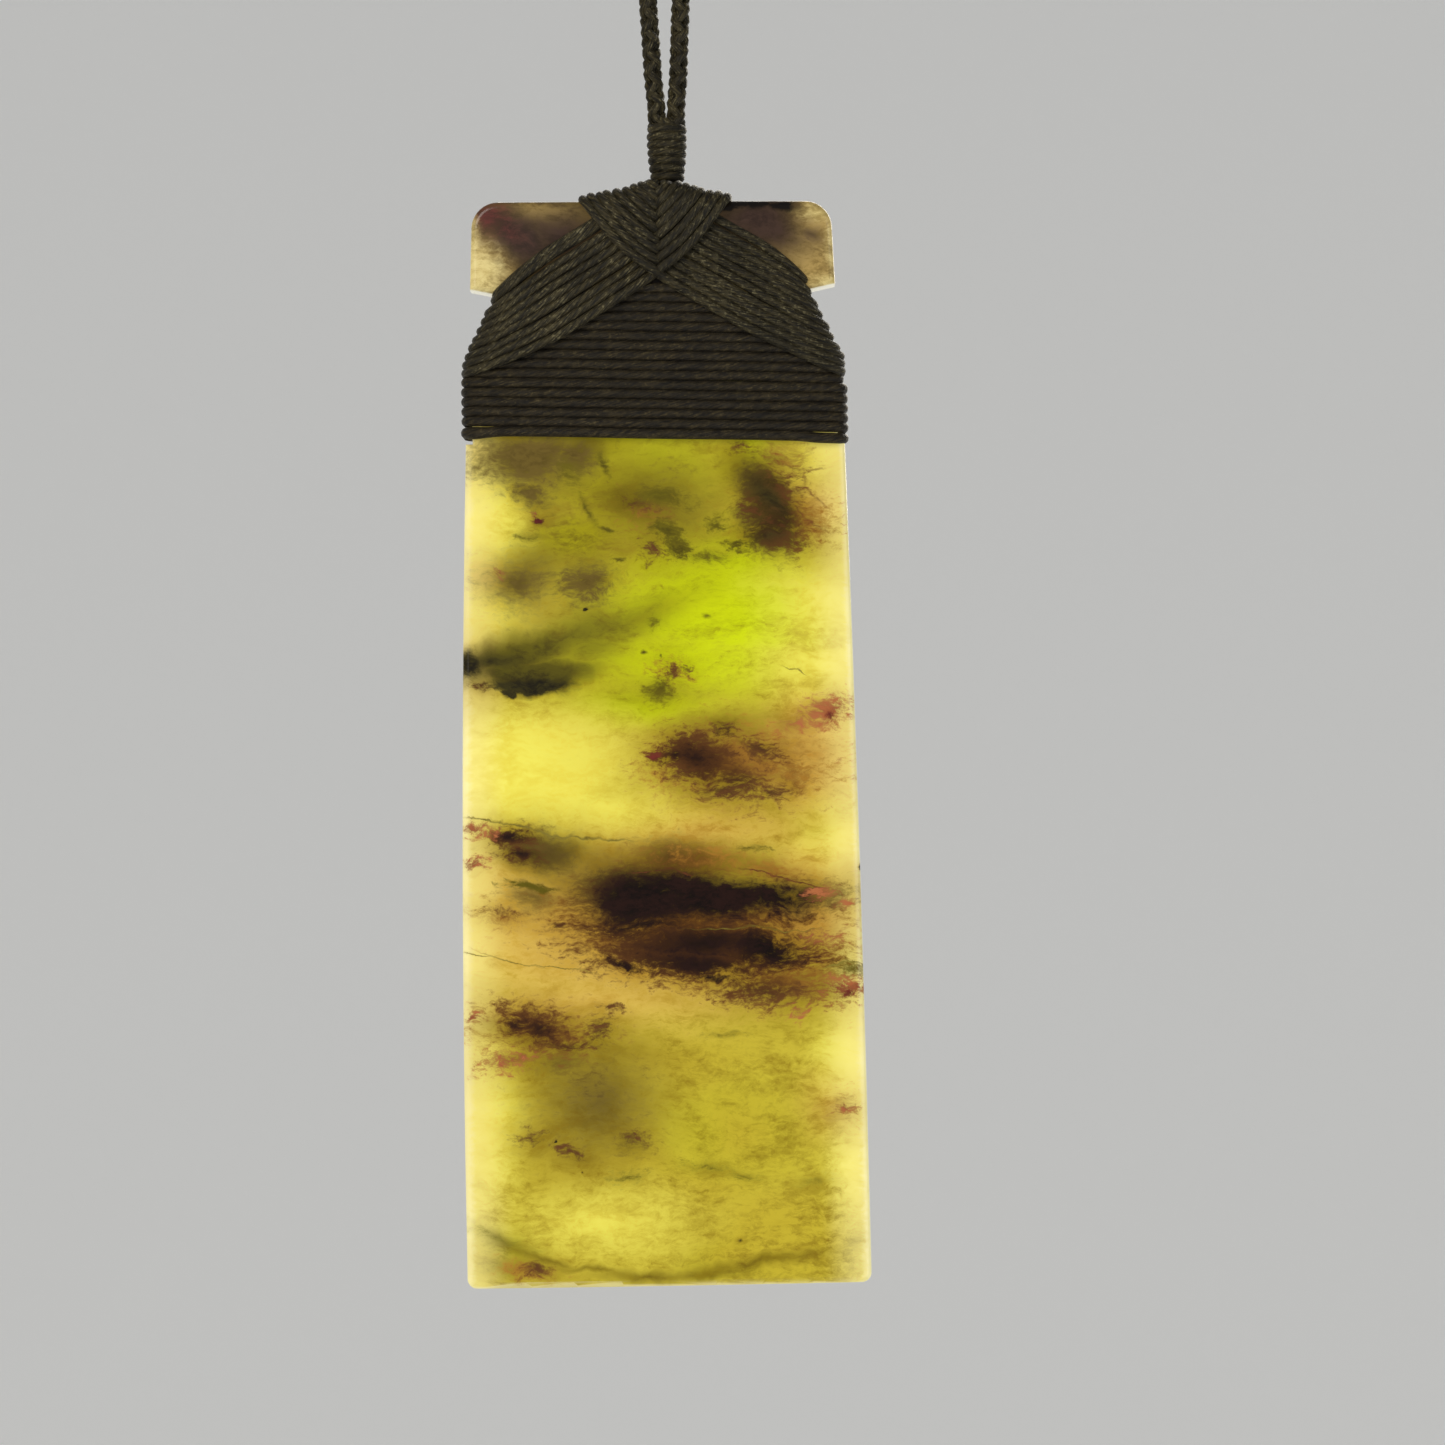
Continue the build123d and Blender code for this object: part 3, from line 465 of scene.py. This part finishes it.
def shadeCoat(name, rows):
    # nodes that lay one shade of the stone over the colour under it
    look = stoneLook
    coat = Coat(name, {"under": "Color", "place": "Vector", "wide": "Float", "fine": "Float", "tone": "Float"})
    under, place, wide, fine, tone = coat.taken
    # places and noise are tied to the colour under this shade, so that the renderer works the shades out one by one
    place = under.vector("MULTIPLY_ADD", (trace, trace, trace), place)
    wide = under.maths("MULTIPLY_ADD", trace, wide)
    fine = under.maths("MULTIPLY_ADD", trace, fine)
    turned = {0: place}
    kinds = {}
    for x, depth, halfWidth, halfHeight, soft, ragged, strength, *turns in rows:
        turn = sum(turns)
        cos, sin = math.cos(math.radians(turn)), math.sin(math.radians(turn))
        if turn not in turned:
            turned[turn] = coat.node("CombineXYZ", {}, {
                0: place.vector("DOT_PRODUCT", (cos, 0, -sin), output="Value"),
                2: place.vector("DOT_PRODUCT", (sin, 0, cos), output="Value")})
        across, up = (x + bladeAxis) * mm, (buttLevel - depth) * mm
        size = (1 / (halfWidth * mm), 0, 1 / (halfHeight * mm))
        middle = ((sin * up - cos * across) * size[0], 0, -(sin * across + cos * up) * size[2])
        reach = turned[turn].vector("MULTIPLY_ADD", size, middle).vector("LENGTH", output="Value")
        # ovals with the same kind of edge share what follows
        kind = (halfWidth > look["wideFrom"], soft, ragged, strength)
        kinds[kind] = kinds[kind].maths("MINIMUM", reach) if kind in kinds else reach
    cover = None
    for (isWide, soft, ragged, strength), reach in kinds.items():
        # 0 at the outer edge and less beyond it; inside it rises to 1, or in a weak oval to its strength
        edge = look["edge"] * soft
        outer = 1 + edge
        peak = outer / (2 * edge) if strength >= 1 else (0.16 + 0.8 * strength) / (1 - look["middle"] / outer)
        slope = peak / outer
        torn = (wide if isWide else fine).maths("MULTIPLY_ADD", -slope * ragged, peak)
        here = reach.maths("MULTIPLY_ADD", -slope, torn)
        cover = here if cover is None else cover.maths("MAXIMUM", here)
    if name in look["laces"]:
        cover = cover - fine * look["laces"][name]
    if name in look["halos"]:
        blurred = coat.ease(cover, *look["haloReach"], 0, look["halos"][name])
        under = coat.mix(blurred, under, look["halo"], "MULTIPLY")
    light, dark = [sRGB(*tint) for tint in look["shades"][name]]
    return coat.give(coat.mix(coat.ease(cover, 0, 1), under, coat.mix(tone, light, dark)))


def stonePaint():
    look = stoneLook
    paint = Paint("jadePaint")
    place = paint.node("TexCoord", {}, {}, "Object")
    # the same place, pushed about so that no patch has a plain oval edge
    warped = place
    for scale, reach, detail in look["warps"]:
        swirl = paint.noise(warped, scale, detail, 0.6, "Color").vector("SUBTRACT", (0.5, 0.5, 0.5))
        warped = swirl.vector("MULTIPLY_ADD", (reach * mm * look["warpAcross"], 0, reach * mm), warped)
    # clouds, specks and fibres, longer across the blade than down it
    lying = paint.node("Mapping", {}, {
        "Vector": warped, "Rotation": (0, math.radians(look["grainTurn"]), 0), "Scale": look["grainStretch"]})
    drawn = paint.node("Mapping", {}, {"Vector": warped, "Scale": look["fibreStretch"]})
    cloud = paint.noise(lying, *look["clouds"])
    speck = paint.noise(lying, *look["specks"])
    fibre = paint.noise(drawn, *look["fibres"])
    wide = (cloud - 0.5) * 2.0 + (speck - 0.5) * 1.3 + (fibre - 0.5) * 0.7
    fine = (cloud - 0.5) + (speck - 0.5) * 2.6

    across = (place.part("X") / mm - bladeAxis).maths("ABSOLUTE")
    depth = buttLevel - place.part("Z") / mm
    down = (depth - shoulderDepth) / (edgeDepth - shoulderDepth)
    halfWidth = shoulderHalf + down * (edgeHalf - shoulderHalf) + down * (1 - down) * (4 * bulge)
    normal = paint.node("NewGeometry", {}, {}, "Normal")
    facing = normal.part("Y").maths("ABSOLUTE")

    rows = dict(look["patches"])
    for name, halfLine, soft, strength, points in look["marks"]:
        rows[name] = rows.get(name, []) + markRows(halfLine, soft, strength, points)
    tone = paint.ease(cloud * 0.55 + speck * 0.45, 0.41, 0.6)
    colour = paint.mix(tone, look["base"], look["baseDark"])
    for name in look["order"]:
        if name == "mottle":
            # faint fibres and clouds in the gold and olive stone
            fibres = paint.ease(fibre, 0.46, 0.66, 0, look["mottleFibres"])
            clouds = paint.ease(cloud, 0.5, 0.68, 0, look["mottleClouds"])
            colour = paint.mix(fibres + clouds, colour, look["mottle"], "MULTIPLY")
        elif name == "fleck":
            # small brown flecks, thickest in the dark zones and absent from the clear ones
            flecks = paint.ease(speck * 0.7 + cloud * 0.3, 0.53, 0.66, 0, look["fleckShare"])
            colour = paint.mix(flecks * paint.ease(cloud, 0.42, 0.6), colour, look["fleck"], "MULTIPLY")
        elif name == "rimLight":
            # painted light: the thin stone at the sides and the rounded edges are made lighter, for the light that
            # comes through them and catches them
            inward = halfWidth - across + fine * 0.3 + wide * 0.25
            sideLight = paint.ease(inward + wide * 0.6, look["creamWidth"], 0.3, 0, look["creamShare"])
            colour = paint.mix(sideLight, colour, look["sideLight"])
            side = paint.ease(inward, look["rimWidth"], 0, 0, look["rimShare"])
            rounded = paint.ease(facing, 0.93, 0.6, 0, look["roundShare"])
            colour = paint.mix(side.maths("MAXIMUM", rounded), colour, look["rimLight"])
        else:
            colour = paint.node("Group", {"node_tree": shadeCoat(name, rows[name])}, {
                "under": colour, "place": warped, "wide": wide, "fine": fine, "tone": tone})
    lit = paint.ease(normal.part("Z"), *look["litSlope"]) * paint.ease(depth, *look["litDepth"])
    colour = paint.mix(lit, colour, look["lit"])
    bump = paint.node("Bump", {}, {"Strength": 0.05, "Distance": 0.0004, "Height": paint.noise(place, 240, 4)})
    shader = paint.node("BsdfPrincipled", {}, {
        "Base Color": colour, "Roughness": look["roughness"], "Normal": bump,
        # painted glow: the stone's colour is given off as light, standing in for the light that comes through it
        # from behind
        "Emission Color": colour, "Emission Strength": look["glow"],
        "Coat Weight": 0.1, "Coat Roughness": 0.15, "IOR": 1.5, "Specular IOR Level": 0.3,
    })
    paint.material.cycles.emission_sampling = "NONE"
    return paint.finish(shader)


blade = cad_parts["toki_blade"]
blade.data.materials.clear()
blade.data.materials.append(stonePaint())
for face in blade.data.polygons:
    face.material_index = 0
print("jade painted")

# Waxed cord, and the stone's crowned faces and rounded edges as they are under it
faceRadius = 221.6
halfThickness = 3.0
edgeRound = 0.6
strand = 0.83
layerGap = 0.1


def faceLevel(x, growth=0.0):
    # half thickness of the crowned stone at a distance from its axis
    return np.sqrt((faceRadius + growth) ** 2 - x ** 2) - (faceRadius - halfThickness)


def smooth(value, low, high):
    share = np.clip((value - low) / (high - low), 0, 1)
    return share * share * (3 - 2 * share)


def runAlong(points):
    # distance along a line to each of its points
    return np.append(0, np.cumsum(np.linalg.norm(np.diff(points, axis=0), axis=1)))


def spaced(points, at, run):
    # places at given distances along a line
    return np.stack([np.interp(at, run, points[:, k]) for k in range(points.shape[1])], axis=1)


def resample(points, step, closed):
    # points a step apart along a line
    ring = np.vstack([points, points[:1]]) if closed else points
    run = runAlong(ring)
    count = max(8, round(run[-1] / step))
    at = np.linspace(0, run[-1], count + 1)
    return spaced(ring, at[:-1] if closed else at, run)


def relax(points, rounds, closed):
    # takes the sharpness out of a line without moving its ends
    for _ in range(rounds):
        if closed:
            points = (np.roll(points, 1, 0) + 2 * points + np.roll(points, -1, 0)) / 4
        else:
            inner = (points[:-2] + 2 * points[1:-1] + points[2:]) / 4
            points = np.vstack([points[:1], inner, points[-1:]])
    return points


class TubeMesh:
    # gathers cords as tubes in one mesh, with the way along and around each cord as its UV map
    def __init__(self):
        self.vertices, self.faces, self.places, self.ends = [], [], [], []
        self.count = 0

    def add(self, points, radius, sides, closed):
        number = len(points)
        if closed:
            ahead = np.roll(points, -1, 0) - np.roll(points, 1, 0)
        else:
            ahead = np.gradient(points, axis=0)
        ahead /= np.linalg.norm(ahead, axis=1)[:, None]
        # frames that turn as little as they can
        side = np.zeros_like(points)
        first = np.cross(ahead[0], (0, 0, 1))
        if np.linalg.norm(first) < 0.1:   # the cord starts straight up or down
            first = np.cross(ahead[0], (0, 1, 0))
        side[0] = first / np.linalg.norm(first)
        for i in range(1, number):
            kept = side[i - 1] - ahead[i] * np.dot(side[i - 1], ahead[i])
            side[i] = kept / np.linalg.norm(kept)
        up = np.cross(ahead, side)
        if closed:
            last = side[-1] - ahead[0] * np.dot(side[-1], ahead[0])
            twist = math.atan2(np.dot(np.cross(last, side[0]), ahead[0]), np.dot(last, side[0]))
            turns = twist * np.arange(number) / number
            cos, sin = np.cos(turns)[:, None], np.sin(turns)[:, None]
            side, up = side * cos + up * sin, up * cos - side * sin
        radii = np.broadcast_to(np.asarray(radius, float), (number,))
        around = np.arange(sides) * 2 * math.pi / sides
        ring = points[:, None] + radii[:, None, None] * (
            np.cos(around)[:, None] * side[:, None] + np.sin(around)[:, None] * up[:, None])
        self.vertices.append(ring.reshape(-1, 3) * mm)
        rows = number if closed else number - 1
        i, j = np.meshgrid(np.arange(rows), np.arange(sides), indexing="ij")
        nextRow, nextSide = (i + 1) % number, (j + 1) % sides
        quads = np.stack([i * sides + j, i * sides + nextSide,
                          nextRow * sides + nextSide, nextRow * sides + j], axis=-1) + self.count
        self.faces.append(quads.reshape(-1, 4))
        length = runAlong(np.vstack([points, points[:1]]))
        along = np.stack([length[i], length[i], length[i + 1], length[i + 1]], axis=-1)
        share = np.stack([j, j + 1, j + 1, j], axis=-1) / sides
        self.places.append(np.stack([along, share], axis=-1).reshape(-1, 2))
        if not closed:
            self.ends.append(list(range(self.count, self.count + sides))[::-1])
            self.ends.append(list(range(self.count + (number - 1) * sides, self.count + number * sides)))
        self.count += number * sides

    def build(self, name):
        mesh = bpy.data.meshes.new(name)
        mesh.from_pydata(np.vstack(self.vertices).tolist(), [], np.vstack(self.faces).tolist() + self.ends)
        layer = mesh.uv_layers.new(name="cordRun")
        places = np.vstack(self.places)
        values = np.zeros((len(mesh.loops), 2), np.float32)
        values[: len(places)] = places
        layer.data.foreach_set("uv", values.ravel())
        mesh.polygons.foreach_set("use_smooth", [True] * len(mesh.polygons))
        mesh.update()
        piece = bpy.data.objects.new(name, mesh)
        bpy.context.scene.collection.objects.link(piece)
        print(name, "faces", len(mesh.polygons))
        return piece


cordLook = {
    # the level turns are darker, partly their wax and partly painted shade; the other cords are drier and lighter,
    # partly painted light for the raised cords that catch more of it: wax, shade, worn, share of worn fibres
    "waxed": (sRGB(66, 56, 33), sRGB(21, 17, 10), sRGB(128, 114, 76), 0.55),
    "rubbedLit": (sRGB(82, 73, 44), sRGB(22, 19, 11), sRGB(164, 154, 114), 0.9),
    "twist": 8,   # run in which the fibres go once round, in millimetres
    "plies": 3,
    "fibreRun": 0.36,   # the smaller, the longer the fibres
    "fibres": (3.4, 5, 0.68), "patches": (300, 4), "grains": (3000, 4, 0.72),   # scale, detail, roughness
    "roughness": 0.48, "roughnessSwing": 0.12,
}


def cordPaint(finish):
    look = cordLook
    wax, shade, worn, share = look[finish]
    paint = Paint(finish + "CordPaint")
    run = paint.node("UVMap", {"uv_map": "cordRun"}, {})
    along, around = run.part("X"), run.part("Y")
    place = paint.node("TexCoord", {}, {}, "Object")
    # fine fibres that lie along the cord with a slight twist, held down by the wax, and a trace of its plies
    angle = (along / look["twist"] + around) * (2 * math.pi)
    lie = {0: along * look["fibreRun"], 1: angle.maths("COSINE"), 2: angle.maths("SINE")}
    fibre = paint.noise(paint.node("CombineXYZ", {}, lie), *look["fibres"])
    ply = (angle * look["plies"] + fibre * 9).maths("SINE") * 0.5 + 0.5
    patch = paint.noise(place, *look["patches"])
    grain = paint.noise(place, *look["grains"])
    colour = paint.mix(paint.ease(ply * 0.05 + fibre * 0.95, 0.36, 0.66), shade, wax)
    colour = paint.mix(paint.ease(fibre * 0.45 + grain * 0.55, 0.52, 0.68) * share, colour, worn)
    colour = paint.mix(paint.ease(patch, 0.42, 0.68) * 0.45, colour, shade)
    height = ply * 0.06 + grain * 0.9 + fibre * 1.2
    bump = paint.node("Bump", {}, {"Strength": 0.9, "Distance": 0.00011, "Height": height})
    smoothest, roughest = look["roughness"] - look["roughnessSwing"], look["roughness"] + look["roughnessSwing"]
    shader = paint.node("BsdfPrincipled", {}, {
        "Base Color": colour, "Roughness": paint.ease(grain, 0.3, 0.7, smoothest, roughest), "Normal": bump,
        "Specular IOR Level": 0.28, "Sheen Weight": 0.03, "Sheen Roughness": 0.4,
    })
    return paint.finish(shader)


# a darker copy for the level turns and a lighter one for the other cords, in part painted light and shade
waxedShadedCord, rubbedLitCord = cordPaint("waxed"), cordPaint("rubbedLit")


def dress(piece, material, node):
    # a piece of cord that stands for one node of the frame
    piece.data.materials.append(material)
    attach(piece, "root")
    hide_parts(node)


# Level turns round the neck
wrapLook = {
    "first": 7.79, "last": 20.42, "turns": 16,   # depths of the top and the bottom turn's middle
    "tilt": 0.52,   # how far each turn falls on either side of the axis
    "highest": 9, "crowding": 0.12,   # least depth at the blade's sides, and how much more each turn
    "crowdedFrom": (1.5, 11.5),
    "thickness": 0.93,
    "part": 0.14, "partFrom": (12.6, 14.1),   # the last turn parts from the others at the right
    "tuck": 0.2, "tuckFrom": (13, 15.6),   # and lies lower and thicker at the left, over the cord's end
    "swell": 0.12, "swellFrom": (14.2, 15.8),
    "waves": 5, "wobble": 0.013,
    "outlineFrom": 8.9,   # the top turns keep the stone's outline at this depth
    "cornerSteps": 8, "faceSteps": 60,
    "step": 0.38, "sides": 10,
}
# the stone's half width in the notch and on its lower seat, and the depths of both
neckHalf, seatHalf = 12.1, 15.9
neckDepth, seatDepth = 8.45, 16.05


def stoneHalfWidth(depth):
    share = np.clip((depth - neckDepth) / (seatDepth - neckDepth), 0, 1)
    return neckHalf + (seatHalf - neckHalf) * share


def levelTurn(depth, growth):
    # outline round the stone at one depth, from the left side over the front to the right and back
    look = wrapLook
    corner = edgeRound + growth
    faceX = float(stoneHalfWidth(depth)) + growth - corner
    level = float(faceLevel(faceX, growth)) - corner
    shares = [k / look["cornerSteps"] for k in range(look["cornerSteps"] + 1)]
    points = []
    for share in shares:
        turn = math.pi - math.pi / 2 * share
        points.append((-faceX + corner * math.cos(turn), -level - corner * math.sin(turn)))
    for x in np.linspace(-faceX, faceX, look["faceSteps"])[1:-1]:
        points.append((x, -float(faceLevel(x, growth))))
    for share in shares:
        turn = math.pi / 2 * (1 - share)
        points.append((faceX + corner * math.cos(turn), -level - corner * math.sin(turn)))
    return points + [(-x, -y) for x, y in points]


def levelTurns():
    look = wrapLook
    tubes = TubeMesh()
    growth = layerGap + strand / 2
    pitch = (look["last"] - look["first"]) / (look["turns"] - 1)
    rng = np.random.default_rng(7)
    line = []
    for i in range(look["turns"]):
        isLast = i == look["turns"] - 1
        depth = look["first"] + i * pitch
        outline = levelTurn(max(depth, look["outlineFrom"]), growth)
        waves = rng.normal(0, look["wobble"], look["waves"])
        for k, (x, y) in enumerate(outline):
            share = k / len(outline)
            level = depth + look["tilt"] * x / seatHalf
            if share >= 0.5 and not isLast:
                level += pitch * (2 * share - 1)
            level += sum(wave * math.sin((n + 1) * math.pi * 2 * share) for n, wave in enumerate(waves))
            # the top turns rise towards the crossing in the middle of both faces
            pressed = look["highest"] + look["crowding"] * i - level
            if pressed > 0:
                level += pressed * float(smooth(abs(x), *look["crowdedFrom"]))
            if isLast and share < 0.5:
                level += look["part"] * float(smooth(x, *look["partFrom"]))
            if isLast:
                level += look["tuck"] * float(smooth(-x, *look["tuckFrom"]))
            line.append((x + bladeAxis, y, buttLevel - level))
    line = relax(resample(np.array(line), look["step"], False), 2, False)
    # the cord's end is tucked under the last turn at the left, which is thicker there
    lowest = smooth(buttLevel - line[:, 2], look["last"] - 0.5, look["last"] - 0.2)
    thicker = lowest * smooth(bladeAxis - line[:, 0], *look["swellFrom"])
    tubes.add(line, look["thickness"] / 2 + look["swell"] * thicker, look["sides"], False)
    return tubes.build("level_turns")


dress(levelTurns(), waxedShadedCord, "wrap_band")
print("level turns wound")

# Diagonal cords: middle lines of the top and the bottom cord of the bundle that rises to the right
diagonalLook = {
    "cords": 10,
    "top": [(-14.6, 8.9), (-13.25, 7.75), (-11.5, 6.1), (-9.15, 4.3), (-5, 1.9), (-1.5, -0.5), (0.6, -2)],
    "foot": [(-17.2, 15.1), (-16.3, 14.85), (-14.9, 14.5), (-11.6, 13.3), (-8.25, 11.85), (-4.6, 9.6), (-0.9, 7.35),
             (0.35, 6.45), (1.55, 5.6), (3.5, 4), (5.65, 1.3), (6.75, -0.2)],
    "cross": 0.35,   # the bundles meet this far right of the blade's axis
    "seam": (-0.14, 0.43),   # where a cord climbs onto the other bundle, from that line
    "climb": 0.85,   # how far it climbs, in strands
    "bandFrom": (-3.2, 0.2),   # where the cords climb onto the level turns, from the neck's depth
    "fall": 0.6, "fallFrom": (9, 16.5),   # how much lower the other bundle reaches the right side
    "widest": 16.4,   # no cord's middle lies further out
    "sideRoom": (0.24, 0.1),   # slack at the left and at the right side
    # how high the cords lie on the butt, from left to right
    "mound": [(-7, 0.35), (-6.2, 0.5), (-4.6, 0.85), (-2.6, 1.15), (-0.9, 1.6), (0, 1.8), (2.9, 1.6),
              (3.4, 1.4), (4.3, 1.1), (5.3, 0.85), (6.4, 0.62), (7.4, 0.4)],
    "topCorner": 1.5, "overButt": 0.2,
    "scatter": 0.009, "wave": 0.025, "waveRun": 0.11,
    "lineSteps": 140, "lineRounds": 60,
    "step": 0.3, "sides": 10,
}


def easedLine(points):
    look = diagonalLook
    points = np.array(points, float)
    run = runAlong(points)
    line = spaced(points, np.linspace(0, run[-1], look["lineSteps"]), run)
    return relax(line, look["lineRounds"], False)


def roundedOff(corner, away):
    # how high the round of an edge stands at a distance from that edge
    near = np.clip(corner - np.clip(away, 0, None), 0, None)
    return np.sqrt(np.clip(corner ** 2 - near ** 2, 0, None))


def cordLoop(line, side):
    # one closed cord: up the front, over the butt, down the back and round the blade's side
    look = diagonalLook
    # the bundle that rises to the left is worked out as the other one's mirror image
    x, depth = line[:, 0], line[:, 1]
    trueX = x if side > 0 else 2 * look["cross"] - x
    if side < 0:
        depth = depth + look["fall"] * smooth(-x, *look["fallFrom"])
    onBand = smooth(depth, neckDepth + look["bandFrom"][0], neckDepth + look["bandFrom"][1])
    base = layerGap + onBand * strand
    # each cord climbs onto the other bundle at the seam, a little right of the middle line
    early, late = look["seam"]
    upper = smooth(x - look["cross"], early, late) if side > 0 else smooth(x - look["cross"], -late, -early)
    growth = base + strand * (0.5 + look["climb"] * upper)
    level = faceLevel(trueX) + growth
    room = look["sideRoom"][0 if side > 0 else 1]
    edge = -np.minimum(stoneHalfWidth(depth) + base + strand / 2 + room, look["widest"])
    if side < 0:
        edge = edge + 2 * look["cross"]
    corner = edgeRound + growth
    level = level - corner + roundedOff(corner, x - edge)
    mound = np.array(look["mound"])
    topDepth = np.minimum(strand / 2 - np.interp(trueX, mound[:, 0], mound[:, 1]), -look["overButt"])
    level = level - look["topCorner"] + roundedOff(look["topCorner"], depth - topDepth)
    keep = (depth > topDepth) & (x > edge)
    front = np.stack([trueX[keep] + bladeAxis, -level[keep], buttLevel - depth[keep]], axis=1)
    loop = np.vstack([front, front[::-1] * (1, -1, 1)])
    return relax(resample(loop, look["step"], True), 3, True)


def diagonalCords():
    look = diagonalLook
    tubes = TubeMesh()
    rng = np.random.default_rng(3)
    top, foot = easedLine(look["top"]), easedLine(look["foot"])
    spread = np.linspace(0, 1, look["cords"])
    for side in (1, -1):
        shares = np.clip(spread + rng.normal(0, look["scatter"], look["cords"]), 0, 1)
        for share in shares:
            loop = cordLoop((1 - share) * top + share * foot, side)
            waves = 1 + look["wave"] * np.sin(np.arange(len(loop)) * look["waveRun"] + rng.uniform(0, 6))
            tubes.add(loop, strand / 2 * waves, look["sides"], True)
    return tubes.build("diagonal_cords")


dress(diagonalCords(), rubbedLitCord, "cross_lashing")
print("diagonal cords laid")

# Collar: a whipping on the cords' own core
collarLook = {
    "top": -324.9, "foot": -330.6,
    "turns": 7, "turnSteps": 44,
    "slant": 0.13, "slantTurn": 0.6,
    "snug": 1.04,   # the cord's thickness against a free one, so that its turns touch
    # levels and the whipping's width at each
    "widths": [(-330.7, 2.95), (-329.8, 3.05), (-328.6, 3.38), (-327, 3.55), (-326, 3.55), (-325.3, 3.3),
               (-324.8, 3.05)],
    "coreFoot": -331.5, "coreTop": -324.8, "coreSteps": 12, "coreSides": 16, "coreInset": 0.7,
    "step": 0.22, "sides": 12,
}


def collarWhipping():
    look = collarLook
    tubes = TubeMesh()
    pitch = (look["top"] - look["foot"] - strand) / look["turns"]
    levels, widths = np.array(look["widths"]).T
    share = np.linspace(0, look["turns"], look["turns"] * look["turnSteps"])
    level = look["top"] - strand / 2 - share * pitch
    turn = share * 2 * math.pi
    radius = np.interp(level, levels, widths) / 2 - strand / 2
    level = level + look["slant"] * np.cos(turn + look["slantTurn"])
    line = np.stack([radius * np.cos(turn), radius * np.sin(turn), level], axis=1)
    line = relax(resample(line, look["step"], False), 2, False)
    tubes.add(line, strand / 2 * look["snug"], look["sides"], False)
    core = np.zeros((look["coreSteps"], 3))
    core[:, 2] = np.linspace(look["coreFoot"], look["coreTop"], look["coreSteps"])
    tubes.add(core, np.interp(core[:, 2], levels, widths) / 2 - strand * look["coreInset"], look["coreSides"], False)
    return tubes.build("collar_whipping")


dress(collarWhipping(), rubbedLitCord, "collar")
print("collar whipped")

# Plaited neck loop: a round plait of two cords each way
plaitLook = {
    "pitch": 3.7,   # run in which each cord goes once round
    "reach": 0.45, "weave": 0.11, "cord": 0.37,
    "step": 0.33, "sides": 8,
    "thickness": 1.68,
    "tuck": 1.2,   # how far both ends run down into the collar
    "drop": 325,   # from the hanging place down to the collar
    "pairHalf": 0.83, "pairRun": 1.3,   # both ends stand side by side over this run
    "flare": 0.24, "flareRun": 1.8,   # and part by as much over this one
    "hang": 15,   # inner radius over the hanging place
    "routeStep": 0.3, "easedSteps": 60, "easedRounds": 12, "arcSteps": 80,
}


def loopRoute():
    # two ends side by side, flare, straight sides, arc over the hanging place
    look = plaitLook
    crown = look["hang"] + look["thickness"] / 2
    inner, outer = look["pairHalf"], look["pairHalf"] + look["flare"]
    flareTop = -look["drop"] + look["pairRun"] + look["flareRun"]
    rise = -look["hang"] - flareTop
    lean = math.asin(crown / math.hypot(outer, rise)) - math.atan2(outer, rise)
    tangent = (crown * math.cos(lean), 0, -crown * math.sin(lean) - look["hang"])
    corners = np.array([(inner, 0, -look["drop"] - look["tuck"]), (inner, 0, -look["drop"] + look["pairRun"]),
                        (outer, 0, flareTop), tangent])
    side = resample(corners, look["routeStep"], False)
    side[:look["easedSteps"]] = relax(side[:look["easedSteps"]], look["easedRounds"], False)
    turns = np.linspace(-lean, math.pi / 2, look["arcSteps"], endpoint=False)[1:]
    arc = np.stack([crown * np.cos(turns), np.zeros(len(turns)), crown * np.sin(turns) - look["hang"]], axis=1)
    right = np.vstack([side, arc])
    return np.vstack([right, right[::-1] * (-1, 1, 1)])


def plaitedLoop():
    look = plaitLook
    tubes = TubeMesh()
    route = resample(loopRoute(), look["step"], False)
    run = runAlong(route)
    ahead = np.gradient(route, axis=0)
    ahead /= np.linalg.norm(ahead, axis=1)[:, None]
    across = np.tile((0, 1, 0), (len(route), 1))
    side = np.cross(ahead, across)
    for way in (1, -1):
        for k in range(2):
            turn = way * 2 * math.pi * run / look["pitch"] + k * math.pi + (math.pi / 2 if way > 0 else 0)
            # a cord that goes one way lies over the others in every second quarter of the plait
            reach = look["reach"] + way * look["weave"] * np.cos(2 * turn - math.pi * 7 / 2)
            line = route + reach[:, None] * (np.cos(turn)[:, None] * side + np.sin(turn)[:, None] * across)
            tubes.add(line, look["cord"], look["sides"], False)
    return tubes.build("plaited_loop")


dress(plaitedLoop(), rubbedLitCord, "neck_plait")
print("neck loop plaited")
